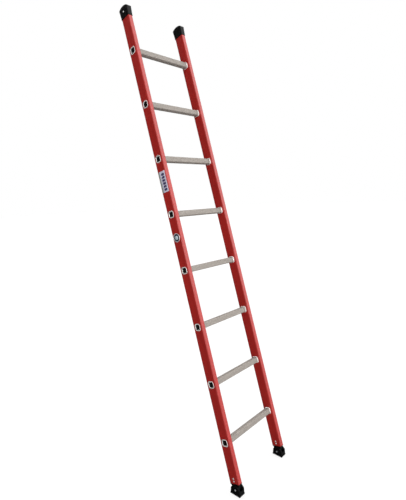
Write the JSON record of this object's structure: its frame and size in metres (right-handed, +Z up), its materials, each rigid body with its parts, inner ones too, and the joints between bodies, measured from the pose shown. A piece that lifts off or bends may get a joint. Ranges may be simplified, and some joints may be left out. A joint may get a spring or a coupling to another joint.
{
  "type": "leaning ladder",
  "caption": "Straight leaning ladder: red glass-fibre box stiles, swaged square aluminium rungs, black arched end caps and swivelling rubber-soled feet.",
  "frame": {"origin": "on the ground, under the middle of the leaning ladder's box", "axes": "+X along the rungs, +Y the way the ladder leans, +Z up from level ground"},
  "size_m": [0.4066, 0.6818, 2.3568],
  "materials": {
    "stile_grp": "pultruded glass-fibre reinforced plastic, satin red, faint fibres along its length",
    "rung_aluminium": "mill-finish extrusion, finely ribbed",
    "black_moulding": "injection-moulded, fine texture",
    "tread_rubber": "matt ribbed rubber",
    "fastener_steel": "bright zinc plate",
    "label_film": "printed adhesive film",
    "badge_metal": "bright domed disc with a dark ring"
  },
  "bodies": {
    "ladder": {"cap_rivet_left": "fastener_steel", "cap_rivet_right": "fastener_steel", "foot_insert_left": "black_moulding", "foot_insert_right": "black_moulding", "insert_rivet_left_inner_1": "fastener_steel", "insert_rivet_left_inner_2": "fastener_steel", "insert_rivet_left_outer_1": "fastener_steel", "insert_rivet_left_outer_2": "fastener_steel", "insert_rivet_right_inner_1": "fastener_steel", "insert_rivet_right_inner_2": "fastener_steel", "insert_rivet_right_outer_1": "fastener_steel", "insert_rivet_right_outer_2": "fastener_steel", "round_badge": "badge_metal", "rung_1": "rung_aluminium", "rung_2": "rung_aluminium", "rung_3": "rung_aluminium", "rung_4": "rung_aluminium", "rung_5": "rung_aluminium", "rung_6": "rung_aluminium", "rung_7": "rung_aluminium", "rung_8": "rung_aluminium", "side_label": "label_film", "stile_left": "stile_grp", "stile_right": "stile_grp", "top_cap_left": "black_moulding", "top_cap_right": "black_moulding"},
    "left_foot": {"foot_shoe_left": "black_moulding", "foot_tread_left": "tread_rubber", "pivot_bolt_left": "fastener_steel", "pivot_nut_left": "fastener_steel", "pivot_washer_left": "fastener_steel"},
    "right_foot": {"foot_shoe_right": "black_moulding", "foot_tread_right": "tread_rubber", "pivot_bolt_right": "fastener_steel", "pivot_nut_right": "fastener_steel", "pivot_washer_right": "fastener_steel"}
  },
  "joints": [
    {"name": "left_foot_swivel", "type": "hinge", "parent": "ladder", "child": "left_foot", "pos_m": [-0.1835, -0.31264, 0.024], "axis": [1, 0, 0], "range_deg": [-45, 15]},
    {"name": "right_foot_swivel", "type": "hinge", "parent": "ladder", "child": "right_foot", "pos_m": [0.1835, -0.31264, 0.024], "axis": [1, 0, 0], "range_deg": [-45, 15]}
  ]
}
